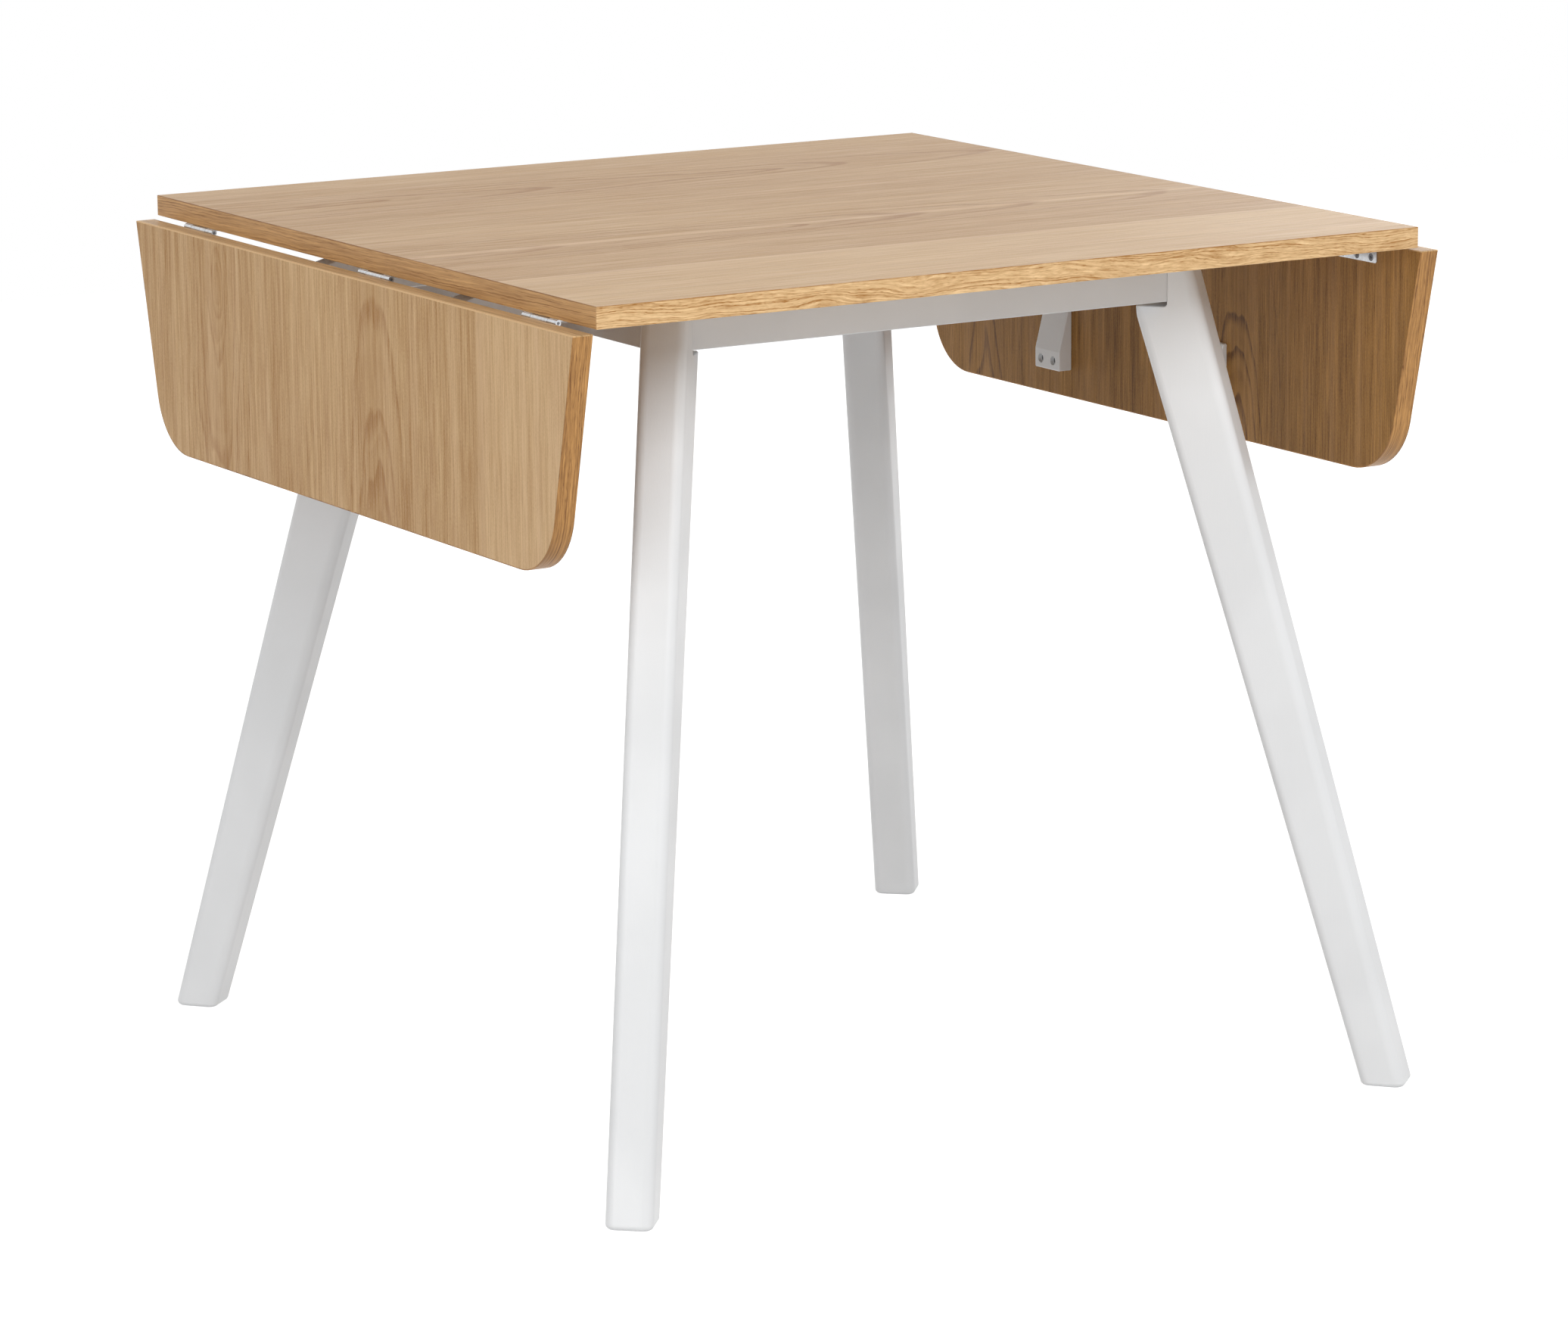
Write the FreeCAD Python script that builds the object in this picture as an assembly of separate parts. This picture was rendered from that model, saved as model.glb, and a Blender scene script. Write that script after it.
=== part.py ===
import FreeCAD, Part
import math
import os

# Drop-leaf dining table: a square top on a splayed four-leg frame, with a leaf hanging on
# hinges at the left and at the right, and four bars that pull out to carry the raised leaves.
#
# Millimetres. +Z is up, -Y is the front, and the origin is on the floor under the middle of
# the top. The model is the table with both leaves hanging and every bar pushed in.
# The left side is the right side turned half a turn about Z.

# ---------------------------------------------------------------- driving dimensions

# Top
table_height = 750.0
panel_thickness = 18.0
top_length = 800.0              # along X, from one leaf joint to the other
top_width = 800.0               # along Y
top_corner_radius = 0.8
arris_radius = 0.4
lipping_thickness = 1.0

# Leaves
leaf_width = 200.0              # from the joint to the outer edge
leaf_side_taper = 45.0          # how far each side runs in over the leaf's width
leaf_corner_radius = 60.0
leaf_joint_gap = 1.0            # between the top and a raised leaf

# Frame
frame_inset = 135.0             # from the top's edges to the outer faces of the aprons
apron_height = 49.0
apron_thickness = 20.0
apron_edge_rounding = 1.0       # of an apron's lower outer edge and its ends
rail_thickness = 20.0
rail_housing_depth = 6.0        # how deep the guide rail is let into the aprons

# Legs
leg_width = 40.0
leg_turn = 48.8                 # degrees from the X axis to the direction of the splay
leg_splay = 15.4                # degrees from the vertical to the outer face
leg_neck_thickness = 15.2       # at the underside of the top
foot_thickness = 39.8
shoulder_reach = 27.5           # how far the leg runs in under the aprons
shoulder_gap = 4.5              # from the aprons' lower edges to the shoulder
shoulder_edge_height = 12.3
leg_edge_rounding = 9.0
leg_joint_rounding = 0.8        # of the leg's edges where it meets the aprons
notch_rounding = 3.0
foot_edge_rounding = 4.0

# Corner blocks and leg bolts
corner_block_depth = 38.0       # from the leg's notch wall to the block's inner face
corner_block_height = 40.0
bolt_radius = 4.0
bolt_spacing = 20.0
bolt_depth_in_leg = 11.0
bolt_free_end = 3.0
nut_across_flats = 13.0
nut_thickness = 6.5
washer_radius = 8.0
washer_thickness = 1.6

# Brackets that hold the top to the aprons
bracket_leg_length = 25.0
bracket_width = 20.0
bracket_thickness = 2.0
bracket_spacing = 180.0
bracket_corner_rounding = 3.0

# Hinges
hinge_length = 56.0
centre_knuckle_length = 28.0
hinge_reach = 18.0              # from the hinge axis to a plate's free edge
hinge_plate_thickness = 1.2
hinge_corner_rounding = 2.0
hinge_end_distance = 89.0       # from the end of the joint to the middle of an end hinge
pin_radius = 1.3
pin_clearance = 0.05
knuckle_clearance = 0.25        # from a knuckle to the panel beside it
knuckle_end_gap = 0.3
knuckle_notch_clearance = 0.5

# Screws
screw_radius = 1.75
screw_head_radius = 3.4
screw_head_height = 1.7
screw_tip_length = 3.0
screw_recess_width = 0.8
screw_recess_span = 3.6
screw_recess_depth = 1.0
hinge_screw_pitch = 20.0
hinge_screw_distance = 13.5     # from the hinge axis
hinge_screw_length = 13.0
bracket_screw_distance = 16.0   # from the bracket's heel
bracket_screw_length = 14.0
wedge_screw_length = 21.0
wedge_screw_spacing = 20.0
wedge_screw_end_distance = 9.0
wedge_counterbore_radius = 4.2
wedge_counterbore_depth = 3.5

# Wedge blocks under the leaves
wedge_width = 40.0
wedge_flat_length = 18.0
wedge_ramp_length = 40.0
wedge_thickness = 14.0
wedge_thin_end = 3.7
wedge_edge_distance = 25.75     # from the leaf's outer edge
wedge_rounding = 1.5

# Support bars
bar_width = 23.0
bar_height = 33.0
bar_top_clearance = 1.0
bar_slot_clearance = 0.5
bar_tip_inset = 2.0             # from the edge of the top
bar_tip_ramp_length = 36.0
bar_rounding = 1.0
bar_pair_spacing = 248.0        # between the two bars of one leaf
bar_pair_offset = 26.0          # of the middle of a pair from the middle of the table
support_clearance = 0.45        # between a bar's ramp and the wedge that it carries
peg_radius = 4.0
peg_projection = 5.0
peg_end_distance = 12.0         # from the outer peg to the bar's inner end
peg_stop_clearance = 0.5

# ---------------------------------------------------------------- dependent dimensions

underside = table_height - panel_thickness
apron_bottom = underside - apron_height

top_half_length = top_length / 2
top_half_width = top_width / 2
frame_half_length = top_half_length - frame_inset
frame_half_width = top_half_width - frame_inset

knuckle_radius = pin_radius + hinge_plate_thickness
axis_x = top_half_length + leaf_joint_gap / 2
axis_z = underside - knuckle_radius - knuckle_clearance
leaf_edge = top_half_length + leaf_joint_gap

leg_turn_sin = math.sin(math.radians(leg_turn))
leg_turn_cos = math.cos(math.radians(leg_turn))
notch_x = frame_half_length - leg_width / 2 * leg_turn_sin
notch_y = frame_half_width - leg_width / 2 * leg_turn_cos
shoulder_top = apron_bottom - shoulder_gap
knee_height = shoulder_top - shoulder_edge_height
foot_outer = leg_neck_thickness + underside * math.tan(math.radians(leg_splay))

corner_block_bottom = underside - corner_block_height
bolt_middle_height = underside - corner_block_height / 2
bolt_heights = (bolt_middle_height - bolt_spacing / 2, bolt_middle_height + bolt_spacing / 2)

hinge_places = (
    hinge_end_distance - top_half_width,
    bar_pair_offset,
    top_half_width - hinge_end_distance,
)
hinge_screw_offsets = (-hinge_screw_pitch, 0.0, hinge_screw_pitch)

bar_places = (bar_pair_offset - bar_pair_spacing / 2, bar_pair_offset + bar_pair_spacing / 2)
bar_top = underside - bar_top_clearance
bar_bottom = bar_top - bar_height
bar_tip = top_half_length - bar_tip_inset
ramp_slope = (wedge_thickness - wedge_thin_end) / wedge_ramp_length
bar_tip_top = bar_top - ramp_slope * bar_tip_ramp_length

wedge_outer_end = leaf_edge + leaf_width - wedge_edge_distance
wedge_ramp_end = wedge_outer_end - wedge_flat_length
wedge_inner_end = wedge_ramp_end - wedge_ramp_length
wedge_depth_at_tip = underside - support_clearance - bar_tip_top
bar_tip_pulled_out = wedge_inner_end + (wedge_depth_at_tip - wedge_thin_end) / ramp_slope
bar_travel = bar_tip_pulled_out - bar_tip

peg_stop = rail_thickness / 2 + peg_stop_clearance + peg_radius
out_stop_peg = -peg_stop - bar_travel
in_stop_peg = peg_stop
bar_inner_end = out_stop_peg - peg_end_distance

# ---------------------------------------------------------------- helpers


def vec(x, y, z):
    return FreeCAD.Vector(x, y, z)


def box(x0, x1, y0, y1, z0, z1):
    return Part.makeBox(x1 - x0, y1 - y0, z1 - z0, vec(x0, y0, z0))


def prism(points, direction):
    """A closed outline of points, extruded along a direction."""
    outline = Part.makePolygon(points + points[:1])
    return Part.Face(outline).extrude(direction)


def prism_along_y(profile, width):
    """An outline of (x, z) points, extruded along Y to both sides of y = 0."""
    points = [vec(x, -width / 2, z) for x, z in profile]
    return prism(points, vec(0, width, 0))


def prism_along_z(outline, z0, z1):
    points = [vec(x, y, z0) for x, y in outline]
    return prism(points, vec(0, 0, z1 - z0))


def edges_where(shape, test):
    return [edge for edge in shape.Edges if test(edge)]


def all_at(edge, coordinate, value):
    """True if both ends of the edge have this value of the coordinate x, y or z."""
    return all(abs(getattr(vertex.Point, coordinate) - value) < 1e-4 for vertex in edge.Vertexes)


def runs_along(edge, coordinate):
    """True if the edge is straight and parallel to the axis x, y or z."""
    others = [name for name in "xyz" if name != coordinate]
    first, last = edge.Vertexes[0].Point, edge.Vertexes[-1].Point
    return all(abs(getattr(first, name) - getattr(last, name)) < 1e-4 for name in others)


def moved(shape, x, y, z):
    copy = shape.copy()
    copy.translate(vec(x, y, z))
    return copy


def turned(shape, degrees):
    """The shape turned about the table's middle."""
    copy = shape.copy()
    copy.rotate(vec(0, 0, 0), vec(0, 0, 1), degrees)
    return copy


def hanging(shape):
    """A raised right leaf's piece, swung down about the hinge axis."""
    copy = shape.copy()
    copy.rotate(vec(axis_x, 0, axis_z), vec(0, 1, 0), 90)
    return copy


def cut_all(shape, tools):
    return shape.cut(tools) if tools else shape


def save(name, solids):
    Part.makeCompound(solids).exportStep("parts/" + name + ".step")


# ---------------------------------------------------------------- screws, nuts and washers


def screw_blank(length):
    """A countersunk screw with a plain head, its head flush with z = 0 and its tip up."""
    profile = [
        (0, 0),
        (screw_head_radius, 0),
        (screw_radius, screw_head_height),
        (screw_radius, length - screw_tip_length),
        (0, length),
    ]
    points = [vec(radius, 0, height) for radius, height in profile]
    outline = Part.makePolygon(points + points[:1])
    return Part.Face(outline).revolve(vec(0, 0, 0), vec(0, 0, 1), 360)


def screw(length):
    """The screw blank with a cross recess in its head."""
    half_span = screw_recess_span / 2
    half_width = screw_recess_width / 2
    slot = box(-half_span, half_span, -half_width, half_width, -1, screw_recess_depth)
    cross = slot.fuse(box(-half_width, half_width, -half_span, half_span, -1, screw_recess_depth))
    return screw_blank(length).cut(cross)


def along(shape, direction, x, y, z):
    """A shape that points up +Z, turned to point along a direction and set at a place."""
    copy = shape.copy()
    turn = FreeCAD.Rotation(vec(0, 0, 1), direction)
    copy.Placement = FreeCAD.Placement(vec(x, y, z), turn)
    return copy


def leg_bolt(height):
    """A threaded bolt through the corner block into the leg, along local +X."""
    start = -corner_block_depth - washer_thickness - nut_thickness - bolt_free_end
    length = bolt_depth_in_leg - start
    return Part.makeCylinder(bolt_radius, length, vec(start, 0, height), vec(1, 0, 0))


def leg_washer(height):
    start = vec(-corner_block_depth - washer_thickness, 0, height)
    disc = Part.makeCylinder(washer_radius, washer_thickness, start, vec(1, 0, 0))
    return disc.cut(leg_bolt(height))


def leg_nut(height):
    corner_radius = nut_across_flats / math.sqrt(3)
    start = -corner_block_depth - washer_thickness - nut_thickness
    corners = []
    for step in range(6):
        angle = math.radians(60 * step)
        y = corner_radius * math.cos(angle)
        z = height + corner_radius * math.sin(angle)
        corners.append(vec(start, y, z))
    return prism(corners, vec(nut_thickness, 0, 0)).cut(leg_bolt(height))


# ---------------------------------------------------------------- corners of the frame


def at_corner(shape):
    """A piece in a leg's own frame, set at the back right corner.

    In the leg's frame x = 0 is the notch wall, +x is the direction of the splay, and
    y = 0 is the middle of the leg's width.
    """
    copy = shape.copy()
    turn = FreeCAD.Rotation(vec(0, 0, 1), leg_turn)
    copy.Placement = FreeCAD.Placement(vec(notch_x, notch_y, 0), turn)
    return copy


def four_corners(shape):
    """The back right corner's piece at all four corners, by name."""
    middle = vec(0, 0, 0)
    back_left = shape.mirror(middle, vec(1, 0, 0))
    front_right = shape.mirror(middle, vec(0, 1, 0))
    front_left = back_left.mirror(middle, vec(0, 1, 0))
    return {
        "back_right": shape,
        "back_left": back_left,
        "front_right": front_right,
        "front_left": front_left,
    }


def leg_outer(height):
    """The outer face's distance from the notch wall."""
    return leg_neck_thickness + (underside - height) * math.tan(math.radians(leg_splay))


def leg():
    """A splayed leg board, notched at its head to stand against the chamfered frame."""
    profile = [
        (leg_outer(underside), underside),
        (0, underside),
        (0, shoulder_top),
        (-shoulder_reach, shoulder_top),
        (-shoulder_reach, knee_height),
        (foot_outer - foot_thickness, 0),
        (foot_outer, 0),
    ]
    board = prism_along_y(profile, leg_width)
    half = leg_width / 2
    slant = (foot_outer - foot_thickness + shoulder_reach) / knee_height

    def is_outer(edge):
        middle = edge.BoundBox.Center
        return abs(middle.x - leg_outer(middle.z)) < 1e-3 and abs(abs(middle.y) - half) < 1e-3

    def is_inner(edge):
        middle = edge.BoundBox.Center
        on_face = abs(middle.x + shoulder_reach - (knee_height - middle.z) * slant) < 1e-3
        return on_face and abs(abs(middle.y) - half) < 1e-3

    def is_notch(edge):
        return runs_along(edge, "y") and all_at(edge, "x", 0) and all_at(edge, "z", shoulder_top)

    def is_joint(edge):
        return runs_along(edge, "z") and all_at(edge, "x", 0)

    board = board.makeFillet(notch_rounding, edges_where(board, is_notch))
    board = board.makeFillet(leg_edge_rounding, edges_where(board, is_outer))
    board = board.makeFillet(leg_edge_rounding, edges_where(board, is_inner))
    board = board.makeFillet(leg_joint_rounding, edges_where(board, is_joint))
    board = board.makeFillet(foot_edge_rounding, edges_where(board, lambda e: all_at(e, "z", 0)))
    return at_corner(cut_all(board, [leg_bolt(height) for height in bolt_heights]))


def corner_block():
    """A block in the corner behind the aprons, which the leg bolts pull the leg against."""
    inner_x = frame_half_length - apron_thickness
    inner_y = frame_half_width - apron_thickness
    size = 2 * corner_block_depth
    outline = [
        (inner_x, inner_y),
        (inner_x - size, inner_y),
        (inner_x - size, inner_y - size),
        (inner_x, inner_y - size),
    ]
    block = prism_along_z(outline, corner_block_bottom, underside)
    inner_cut = box(-4 * size, -corner_block_depth, -4 * size, 4 * size, 0, table_height)
    block = block.cut(at_corner(inner_cut))
    return cut_all(block, [at_corner(leg_bolt(height)) for height in bolt_heights])


# ---------------------------------------------------------------- aprons and guide rail


def bar_slots():
    """The room of all four bars where they run through the aprons and the rail."""
    slots = []
    for place in bar_places:
        low = place - bar_width / 2 - bar_slot_clearance
        high = place + bar_width / 2 + bar_slot_clearance
        bottom = bar_bottom - bar_slot_clearance
        slot = box(-rail_thickness, frame_half_length + 1, low, high, bottom, underside)
        slots.append(slot)
        slots.append(turned(slot, 180))
    return slots


def guide_rail():
    """The middle rail that the bars run through, let into the front and back aprons."""
    half = rail_thickness / 2
    end = frame_half_width - apron_thickness + rail_housing_depth
    rail = box(-half, half, -end, end, apron_bottom, underside)
    return rail.cut(bar_slots())


def apron(half_run, half_across, leg_heads):
    """An apron along X at y = +half_across, mitred at its ends and cut for the legs' heads."""
    inner_run = half_run - apron_thickness
    inner_across = half_across - apron_thickness
    outline = [
        (-half_run, half_across),
        (half_run, half_across),
        (inner_run, inner_across),
        (-inner_run, inner_across),
    ]
    board = prism_along_z(outline, apron_bottom, underside).cut(leg_heads)

    def is_rounded(edge):
        on_face = all_at(edge, "y", half_across)
        return on_face and (runs_along(edge, "z") or all_at(edge, "z", apron_bottom))

    return board.makeFillet(apron_edge_rounding, edges_where(board, is_rounded))


def leg_head_spaces():
    """What the legs' heads take from the frame's four corners."""
    reach = top_length
    head = at_corner(box(0, reach, -reach, reach, 0, table_height))
    return list(four_corners(head).values())


def leg_bolts():
    """All eight leg bolts."""
    return [b for height in bolt_heights for b in four_corners(at_corner(leg_bolt(height))).values()]


def aprons():
    """The four aprons, by name."""
    heads = leg_head_spaces()
    back = apron(frame_half_length, frame_half_width, heads)
    turned_heads = [turned(head, 90) for head in heads]
    right = turned(apron(frame_half_width, frame_half_length, turned_heads), -90)
    blanks = {
        "apron_back": back,
        "apron_front": turned(back, 180),
        "apron_right": right,
        "apron_left": turned(right, 180),
    }
    end_housing = frame_half_width - apron_thickness + rail_housing_depth
    half = rail_thickness / 2
    housing = box(-half, half, -end_housing, end_housing, apron_bottom, underside)
    tools = leg_bolts() + bar_slots() + [housing] + bracket_screw_blanks()
    return {name: blank.cut(tools) for name, blank in blanks.items()}


# ---------------------------------------------------------------- top brackets


def bracket_places():
    """For each bracket: the turn from the back apron, the place along it and its distance."""
    back = frame_half_width - apron_thickness
    side = frame_half_length - apron_thickness
    return [
        (0, -bracket_spacing / 2, back),
        (0, bracket_spacing / 2, back),
        (180, -bracket_spacing / 2, back),
        (180, bracket_spacing / 2, back),
        (-90, -bar_pair_offset, side),
        (90, -bar_pair_offset, side),
    ]


def at_bracket(shape, place):
    degrees, run, distance = place
    return turned(moved(shape, run, distance, underside), degrees)


def bracket_blank():
    """An angle with its heel at the origin, along -Y under the top and down the apron."""
    half = bracket_width / 2
    length = bracket_leg_length
    upper = box(-half, half, -length, 0, -bracket_thickness, 0)
    lower = box(-half, half, -bracket_thickness, 0, -length, 0)
    angle = upper.fuse(lower).removeSplitter()

    def is_free_corner(edge):
        middle = edge.BoundBox.Center
        on_upper = abs(middle.y + length) < 1e-3 and runs_along(edge, "z")
        on_lower = abs(middle.z + length) < 1e-3 and runs_along(edge, "y")
        return on_upper or on_lower

    return angle.makeFillet(bracket_corner_rounding, edges_where(angle, is_free_corner))


def bracket_screw_pair(shape):
    """A screw up into the top and a screw into the apron."""
    upper = moved(shape, 0, -bracket_screw_distance, -bracket_thickness)
    lower = along(shape, vec(0, 1, 0), 0, -bracket_thickness, -bracket_screw_distance)
    return [upper, lower]


def bracket_screw_blanks():
    blank = screw_blank(bracket_screw_length)
    return [at_bracket(s, place) for place in bracket_places() for s in bracket_screw_pair(blank)]


def bracket_screws():
    whole = screw(bracket_screw_length)
    return [at_bracket(s, place) for place in bracket_places() for s in bracket_screw_pair(whole)]


def brackets():
    bracket = bracket_blank().cut(bracket_screw_pair(screw_blank(bracket_screw_length)))
    return [at_bracket(bracket, place) for place in bracket_places()]


# ---------------------------------------------------------------- hinges of the right side


def hinge_screw_set(shape, side, place):
    """The screws of one hinge plate: side is -1 for the top's plate and 1 for the leaf's."""
    x = axis_x + side * hinge_screw_distance
    z = underside - hinge_plate_thickness
    return [moved(shape, x, place + offset, z) for offset in hinge_screw_offsets]


def knuckle(low, high):
    start = vec(axis_x, low, axis_z)
    return Part.makeCylinder(knuckle_radius, high - low, start, vec(0, 1, 0))


def pin(place, radius):
    start = vec(axis_x, place - hinge_length / 2, axis_z)
    return Part.makeCylinder(radius, hinge_length, start, vec(0, 1, 0))


def plate_blank(side, place):
    """A hinge plate on the underside, from the axis to one side."""
    half = hinge_length / 2
    near, far = axis_x, axis_x + side * hinge_reach
    x0, x1 = min(near, far), max(near, far)
    plate = box(x0, x1, place - half, place + half, underside - hinge_plate_thickness, underside)

    def is_free_corner(edge):
        return runs_along(edge, "z") and all_at(edge, "x", far)

    return plate.makeFillet(hinge_corner_rounding, edges_where(plate, is_free_corner))


def knuckle_room(low, high):
    """The room that the other plate leaves round a knuckle."""
    reach = knuckle_radius + knuckle_notch_clearance
    return box(axis_x - reach, axis_x + reach, low, high, axis_z, underside)


def top_hinge_plate(place):
    """The plate under the top, with the two end knuckles, which hold the pin."""
    half = hinge_length / 2
    inner = centre_knuckle_length / 2
    plate = plate_blank(-1, place)
    plate = plate.cut(knuckle_room(place - inner, place + inner))
    plate = plate.fuse([knuckle(place - half, place - inner), knuckle(place + inner, place + half)])
    plate = plate.removeSplitter()
    return plate.cut([pin(place, pin_radius)] + hinge_screw_set(hinge_screw_blank, -1, place))


def leaf_hinge_plate(place):
    """The plate under the leaf, with the middle knuckle, which turns on the pin."""
    half = hinge_length / 2
    outer = centre_knuckle_length / 2
    inner = outer - knuckle_end_gap
    plate = plate_blank(1, place)
    plate = plate.cut([
        knuckle_room(place - half, place - inner),
        knuckle_room(place + inner, place + half),
    ])
    plate = plate.fuse(knuckle(place - inner, place + inner)).removeSplitter()
    bore = pin(place, pin_radius + pin_clearance)
    return plate.cut([bore] + hinge_screw_set(hinge_screw_blank, 1, place))


def hinge_screws(shape, side):
    return [s for place in hinge_places for s in hinge_screw_set(shape, side, place)]


# ---------------------------------------------------------------- top


def rounded_slab(slab, corner_radii):
    """A flat slab with rounded corners and arrises; radii are by the corner's place."""
    for radius, is_corner in corner_radii:
        corners = edges_where(slab, lambda e: runs_along(e, "z") and is_corner(e.BoundBox.Center))
        slab = slab.makeFillet(radius, corners)
    faces_edges = edges_where(
        slab, lambda e: all_at(e, "z", underside) or all_at(e, "z", table_height)
    )
    return slab.makeFillet(arris_radius, faces_edges)


def top_pieces():
    """The veneered panel and its four lippings, by name."""
    x, y = top_half_length, top_half_width
    inner_x, inner_y = x - lipping_thickness, y - lipping_thickness
    whole = rounded_slab(
        box(-x, x, -y, y, underside, table_height), [(top_corner_radius, lambda centre: True)]
    )
    screws = hinge_screws(hinge_screw_blank, -1)
    screws = screws + [turned(s, 180) for s in screws] + bracket_screw_blanks()
    core = box(-inner_x, inner_x, -inner_y, inner_y, underside, table_height)
    front = box(-x, x, -y, -inner_y, underside, table_height)
    left = box(-x, -inner_x, -inner_y, inner_y, underside, table_height)
    return {
        "top_panel": whole.common(core).cut(screws),
        "top_lipping_front": whole.common(front),
        "top_lipping_back": whole.common(turned(front, 180)),
        "top_lipping_left": whole.common(left),
        "top_lipping_right": whole.common(turned(left, 180)),
    }


# ---------------------------------------------------------------- right leaf, raised


def leaf_outline(inset):
    """The leaf's outline inside its edges by an inset, as corners without their rounding."""
    slope = leaf_side_taper / leaf_width
    side_inset = inset * math.sqrt(1 + slope * slope)

    def half_width(distance):
        return top_half_width - slope * distance - side_inset

    near, far = inset, leaf_width - inset
    return [
        (leaf_edge + near, -half_width(near)),
        (leaf_edge + far, -half_width(far)),
        (leaf_edge + far, half_width(far)),
        (leaf_edge + near, half_width(near)),
    ]


def leaf_pieces():
    """The panel, the lipping at the joint and the band round the other edges, by name."""
    outer_side = leaf_edge + leaf_width / 2
    slab = prism_along_z(leaf_outline(0), underside, table_height)
    whole = rounded_slab(slab, [
        (leaf_corner_radius, lambda centre: centre.x > outer_side),
        (top_corner_radius, lambda centre: centre.x < leaf_edge + 1e-3),
    ])
    core = prism_along_z(leaf_outline(lipping_thickness), underside, table_height)
    core_corners = edges_where(
        core, lambda e: runs_along(e, "z") and e.BoundBox.Center.x > outer_side
    )
    core = core.makeFillet(leaf_corner_radius - lipping_thickness, core_corners)
    joint_end = leaf_edge + lipping_thickness
    joint = box(leaf_edge, joint_end, -top_width, top_width, underside, table_height)
    screws = hinge_screws(hinge_screw_blank, 1) + wedge_screws(wedge_screw_blank)
    return {
        "leaf_panel": whole.common(core).cut(screws),
        "leaf_joint_lipping": whole.common(joint),
        "leaf_edge_band": whole.cut([core, joint]),
    }


def wedge_screw_pair(shape, place):
    x = wedge_outer_end - wedge_screw_end_distance
    z = underside - wedge_thickness + wedge_counterbore_depth
    half = wedge_screw_spacing / 2
    return [moved(shape, x, place - half, z), moved(shape, x, place + half, z)]


def wedge_screws(shape):
    return [s for place in bar_places for s in wedge_screw_pair(shape, place)]


def wedge(place):
    """A ramped block under the leaf, which the bar's ramped tip lifts and carries."""
    profile = [
        (wedge_inner_end, underside),
        (wedge_inner_end, underside - wedge_thin_end),
        (wedge_ramp_end, underside - wedge_thickness),
        (wedge_outer_end, underside - wedge_thickness),
        (wedge_outer_end, underside),
    ]
    block = prism_along_y(profile, wedge_width)
    free_edges = edges_where(block, lambda e: not all_at(e, "z", underside))
    block = moved(block.makeFillet(wedge_rounding, free_edges), 0, place, 0)
    counterbore = Part.makeCylinder(wedge_counterbore_radius, wedge_counterbore_depth)
    lowered = moved(counterbore, 0, 0, -wedge_counterbore_depth)
    return block.cut(wedge_screw_pair(lowered, place) + wedge_screw_pair(wedge_screw_blank, place))


# ---------------------------------------------------------------- right support bars


def stop_pegs(place):
    """The pegs that meet the guide rail when the bar is full out and when it is pushed in."""
    length = bar_width + 2 * peg_projection
    height = (bar_bottom + bar_top) / 2
    return [
        Part.makeCylinder(peg_radius, length, vec(x, place - length / 2, height), vec(0, 1, 0))
        for x in (out_stop_peg, in_stop_peg)
    ]


def support_bar(place):
    """A bar that runs under the top and out past its edge, with a ramp on its tip."""
    profile = [
        (bar_inner_end, bar_bottom),
        (bar_tip, bar_bottom),
        (bar_tip, bar_tip_top),
        (bar_tip - bar_tip_ramp_length, bar_top),
        (bar_inner_end, bar_top),
    ]
    bar = prism_along_y(profile, bar_width)
    bar = moved(bar.makeFillet(bar_rounding, bar.Edges), 0, place, 0)
    return bar.cut(stop_pegs(place))


# ---------------------------------------------------------------- the whole table

hinge_screw_blank = screw_blank(hinge_screw_length)
wedge_screw_blank = screw_blank(wedge_screw_length)
hinge_screw = screw(hinge_screw_length)
wedge_screw = screw(wedge_screw_length)

SIDES = (("right", 0, 1), ("left", 180, -1))


def end_name(place):
    """The name of a place along Y."""
    if abs(place) <= abs(bar_pair_offset):
        return "middle"
    return "front" if place < 0 else "back"


def save_frame():
    for name, shape in top_pieces().items():
        save(name, [shape])
    for name, shape in aprons().items():
        save(name, [shape])
    save("bar_guide_rail", [guide_rail()])
    for corner, shape in four_corners(leg()).items():
        save("leg_" + corner, [shape])
    for corner, shape in four_corners(corner_block()).items():
        save("corner_block_" + corner, [shape])
    save("top_brackets", brackets())
    save("top_bracket_screws", bracket_screws())


def save_leg_fixings():
    for name, piece in (("leg_bolts", leg_bolt), ("leg_washers", leg_washer), ("leg_nuts", leg_nut)):
        pieces = []
        for height in bolt_heights:
            pieces += four_corners(at_corner(piece(height))).values()
        save(name, pieces)


def save_hinges():
    pins = []
    top_screws = []
    for side, degrees, sign in SIDES:
        for place in hinge_places:
            end = end_name(sign * place)
            save("hinge_top_plate_%s_%s" % (side, end), [turned(top_hinge_plate(place), degrees)])
            leaf_plate = hanging(leaf_hinge_plate(place))
            save("hinge_leaf_plate_%s_%s" % (side, end), [turned(leaf_plate, degrees)])
            pins.append(turned(pin(place, pin_radius), degrees))
        top_screws += [turned(s, degrees) for s in hinge_screws(hinge_screw, -1)]
        leaf_screws = [turned(hanging(s), degrees) for s in hinge_screws(hinge_screw, 1)]
        save("hinge_leaf_screws_" + side, leaf_screws)
    save("hinge_pins", pins)
    save("hinge_top_screws", top_screws)


def save_leaves():
    pieces = leaf_pieces()
    for side, degrees, sign in SIDES:
        for name, shape in pieces.items():
            save(name + "_" + side, [turned(hanging(shape), degrees)])
        for place in bar_places:
            end = end_name(sign * place)
            save("wedge_block_%s_%s" % (side, end), [turned(hanging(wedge(place)), degrees)])
        screws = [turned(hanging(s), degrees) for s in wedge_screws(wedge_screw)]
        save("wedge_screws_" + side, screws)


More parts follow.
